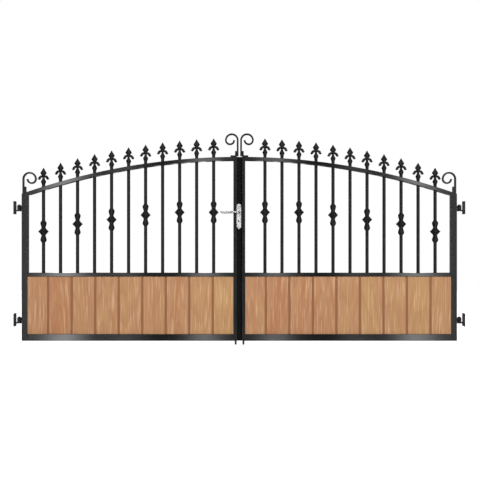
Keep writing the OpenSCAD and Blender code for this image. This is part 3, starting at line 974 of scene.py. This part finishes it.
def add_bar_welds(side):
    """A fillet of weld round the foot of each bar."""
    leg = sizes().weld_leg
    shape = Shape()
    for low, high in islands(f"{side}_bars"):
        bar = (high.x - low.x) / 2
        centre = Vector(((low.x + high.x) / 2, (low.y + high.y) / 2, low.z))
        profile = [(bar - 0.5 * MM, 0.0), (bar + leg, 0.0), (bar + leg * 0.55, leg * 0.32),
                   (bar + leg * 0.22, leg * 0.68), (bar, leg * 1.2), (bar - 0.5 * MM, leg * 1.2)]
        lathe(shape, centre, profile, count=28)
    shape.piece(f"{side}_bar_welds", "coat", f"{side}_leaf")


def add_board_screws(side):
    """Screws through the flat strips into the back of each board."""
    shape = Shape()
    radius = sizes().screw_radius
    panel_low, panel_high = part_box(f"{side}_timber_panel")
    edges = board_edges(panel_low.x, panel_high.x, sizes().board_pitch)
    for strip_low, strip_high in strip_boxes(side):
        z = (strip_low.z + strip_high.z) / 2
        for left, right in zip(edges, edges[1:]):
            for share in (0.28, 0.72):
                x = left + (right - left) * share
                add_screw(shape, Vector((x, strip_high.y, z)), 1, radius)
    shape.piece(f"{side}_board_screws", "zinc", f"{side}_leaf")


def strip_boxes(side):
    return sorted(islands(f"{side}_panel_strips"), key=lambda box: box[0].z)


class GATE_OT_add_fixings(bpy.types.Operator):
    """Adds the welds at the feet of the bars and the screws that hold the boards"""
    bl_idname = "gate.add_fixings"
    bl_label = "Add the Fixings"

    def execute(self, context):
        for side in SIDES:
            add_bar_welds(side)
            add_board_screws(side)
        return {"FINISHED"}


# ---------------------------------------------------------------- stage

FLOOR_REACH = 4.2


def add_floor():
    """A pale floor just below the drop bolts that keeps the gate's shadow."""
    reach = FLOOR_REACH
    z = CAD_BOX[0].z - 1 * MM
    mesh = bpy.data.meshes.new("studio_floor")
    corners = [(MIDDLE_X - reach, -reach, z), (MIDDLE_X + reach, -reach, z),
               (MIDDLE_X + reach, reach, z), (MIDDLE_X - reach, reach, z)]
    mesh.from_pydata(corners, [], [(0, 1, 2, 3)])
    made, tree, surface = new_material("matt white studio floor")
    light = node(tree, "ShaderNodeLightPath")
    glow = node(tree, "ShaderNodeMath", {1: 0.5}, {0: light.outputs["Is Camera Ray"]},
                operation="MULTIPLY")
    surface.inputs["Base Color"].default_value = rgba(colours().floor)
    surface.inputs["Roughness"].default_value = 0.9
    surface.inputs["Emission Color"].default_value = (1, 1, 1, 1)
    tree.links.new(glow.outputs[0], surface.inputs["Emission Strength"])
    mesh.materials.append(made)
    floor = bpy.data.objects.new("studio_floor", mesh)
    bpy.context.scene.collection.objects.link(floor)
    floor.visible_glossy = False


def add_lamp(name, place, aim, width, height, power):
    """A large soft lamp that lights the gate and isn't seen itself."""
    data = bpy.data.lights.new(name, "AREA")
    data.shape = "RECTANGLE"
    data.size = width
    data.size_y = height
    data.energy = power
    lamp = bpy.data.objects.new(name, data)
    lamp.location = place
    lamp.rotation_euler = (aim - place).to_track_quat("-Z", "Y").to_euler()
    lamp.visible_camera = False
    lamp.visible_glossy = False
    bpy.context.scene.collection.objects.link(lamp)


def band(tree, bearing, middle, width, height):
    """A soft bright band of the surround at a bearing, as a bell curve."""
    def step(operation, settings=None, **sources):
        links = {int(key[1:]): source for key, source in sources.items()}
        return node(tree, "ShaderNodeMath", settings, links, operation=operation).outputs[0]

    away = step("SUBTRACT", {1: math.radians(middle)}, s0=bearing)
    scaled = step("DIVIDE", {1: math.radians(width)}, s0=away)
    square = step("MULTIPLY", s0=scaled, s1=scaled)
    fall = step("MULTIPLY", {1: -1.0}, s0=square)
    return step("MULTIPLY", {1: height}, s0=step("EXPONENT", s0=fall))


def set_surround():
    """White behind the gate; for gloss, a studio whose soft boxes stand in front and behind."""
    world = bpy.data.worlds.new("studio surround")
    bpy.context.scene.world = world
    world.use_nodes = True
    tree = world.node_tree
    tree.nodes.clear()
    heading = node(tree, "ShaderNodeSeparateXYZ",
                   links={0: node(tree, "ShaderNodeTexCoord").outputs["Generated"]})
    depth = node(tree, "ShaderNodeMath", links={0: heading.outputs["Y"]}, operation="ABSOLUTE")
    bearing = node(tree, "ShaderNodeMath", links={0: heading.outputs["X"], 1: depth.outputs[0]},
                   operation="ARCTAN2")
    total = node(tree, "ShaderNodeMath", {0: 0.0, 1: SURROUND_BASE}, operation="ADD").outputs[0]
    for middle, width, height in SOFT_BOXES:
        light = band(tree, bearing.outputs[0], middle, width, height)
        total = node(tree, "ShaderNodeMath", links={0: total, 1: light}, operation="ADD").outputs[0]
    # the half of the studio behind the gate is dimmer, so round bars keep dark edges
    side = node(tree, "ShaderNodeMapRange", {"From Min": -0.1, "From Max": 0.25,
                                             "To Min": 1.0, "To Max": REAR_SHARE},
                {"Value": heading.outputs["Y"]})
    total = node(tree, "ShaderNodeMath", links={0: total, 1: side.outputs["Result"]},
                 operation="MULTIPLY").outputs[0]
    path = node(tree, "ShaderNodeLightPath")
    sheen = node(tree, "ShaderNodeMath",
                 links={0: path.outputs["Is Glossy Ray"], 1: path.outputs["Is Transmission Ray"]},
                 operation="MAXIMUM")
    soft = node(tree, "ShaderNodeMix", {"A": AMBIENT}, {"Factor": sheen.outputs[0], "B": total},
                data_type="FLOAT")
    seen = node(tree, "ShaderNodeMix", {"B": 1.0},
                {"Factor": path.outputs["Is Camera Ray"], "A": soft.outputs["Result"]},
                data_type="FLOAT")
    sky = node(tree, "ShaderNodeBackground", {"Color": (1, 1, 1, 1)},
               {"Strength": seen.outputs["Result"]})
    node(tree, "ShaderNodeOutputWorld", links={"Surface": sky.outputs[0]})


# bearing, half width (degrees) and brightness of each soft box in the surround
SOFT_BOXES = [(-17.4, 1.3, 9.5), (17.4, 1.3, 7.5), (-11.5, 1.2, 2.0), (11.5, 1.2, 1.6),
              (-3.6, 1.1, 6.0), (3.6, 1.1, 5.0), (-21.6, 1.4, 0.7), (21.6, 1.4, 0.7),
              (50.0, 16.0, 1.0), (-60.0, 12.0, 0.4)]
SURROUND_BASE = 0.06
REAR_SHARE = 0.3
AMBIENT = 0.4


class GATE_OT_set_stage(bpy.types.Operator):
    """Lays the floor and sets the lamps, the surround and the camera"""
    bl_idname = "gate.set_stage"
    bl_label = "Set the Stage"

    def execute(self, context):
        add_floor()
        set_surround()
        aim = Vector((MIDDLE_X, 0.0, FOOT_Z + 0.6))
        add_lamp("key_lamp", Vector((MIDDLE_X - 1.6, -4.2, FOOT_Z + 3.0)), aim, 3.4, 2.2,
                 studio().key_power)
        add_lamp("fill_lamp", Vector((MIDDLE_X + 2.6, -3.6, FOOT_Z + 1.8)), aim, 2.6, 2.2,
                 studio().key_power * 0.45)
        add_lamp("top_lamp", Vector((MIDDLE_X, 0.6, FOOT_Z + 4.2)), aim, 4.5, 2.5,
                 studio().top_power)
        add_lamp("rear_lamp", Vector((MIDDLE_X + 0.5, 4.4, FOOT_Z + 2.6)), aim, 3.4, 2.2,
                 studio().key_power * 0.8)
        data = bpy.data.cameras.new("camera")
        data.sensor_width = 36.0
        data.lens = data.sensor_width * studio().camera_distance / studio().field_width
        camera = bpy.data.objects.new("camera", data)
        camera.location = (MIDDLE_X + studio().camera_aside, FRONT_Y - studio().camera_distance,
                           FOOT_Z + studio().camera_height)
        camera.rotation_euler = (math.radians(90), 0, 0)
        bpy.context.scene.collection.objects.link(camera)
        bpy.context.scene.camera = camera
        bpy.context.scene.view_settings.view_transform = "Standard"
        return {"FINISHED"}


# ---------------------------------------------------------------- panel and registration

PIECE_OPERATORS = (GATE_OT_coat_steel, GATE_OT_add_seal, GATE_OT_add_boards, GATE_OT_add_collars,
                   GATE_OT_add_railheads, GATE_OT_add_handle, GATE_OT_add_fixings,
                   GATE_OT_set_stage)


class GATE_PT_sidebar(bpy.types.Panel):
    """Lists the gate's settings and the steps that finish it"""
    bl_idname = "GATE_PT_sidebar"
    bl_label = "Arched Driveway Gates"
    bl_space_type = "VIEW_3D"
    bl_region_type = "UI"
    bl_category = "Gates"

    def draw(self, context):
        for group in (context.scene.gate_colours, context.scene.gate_sizes,
                      context.scene.gate_studio):
            box = self.layout.box()
            for name in group.__annotations__:
                box.prop(group, name)
        for operator in PIECE_OPERATORS:
            self.layout.operator(operator.bl_idname)


CLASSES = (GateColours, GateSizes, GateStudio, *PIECE_OPERATORS, GATE_PT_sidebar)


def register():
    for cls in CLASSES:
        bpy.utils.register_class(cls)
    bpy.types.Scene.gate_colours = bpy.props.PointerProperty(type=GateColours)
    bpy.types.Scene.gate_sizes = bpy.props.PointerProperty(type=GateSizes)
    bpy.types.Scene.gate_studio = bpy.props.PointerProperty(type=GateStudio)


def unregister():
    del bpy.types.Scene.gate_colours
    del bpy.types.Scene.gate_sizes
    del bpy.types.Scene.gate_studio
    for cls in reversed(CLASSES):
        bpy.utils.unregister_class(cls)


def main():
    register()
    bpy.ops.gate.coat_steel()
    bpy.ops.gate.add_seal()
    bpy.ops.gate.add_boards()
    bpy.ops.gate.add_collars()
    bpy.ops.gate.add_railheads()
    bpy.ops.gate.add_handle()
    bpy.ops.gate.add_fixings()
    bpy.ops.gate.set_stage()


if __name__ == "__main__":
    main()
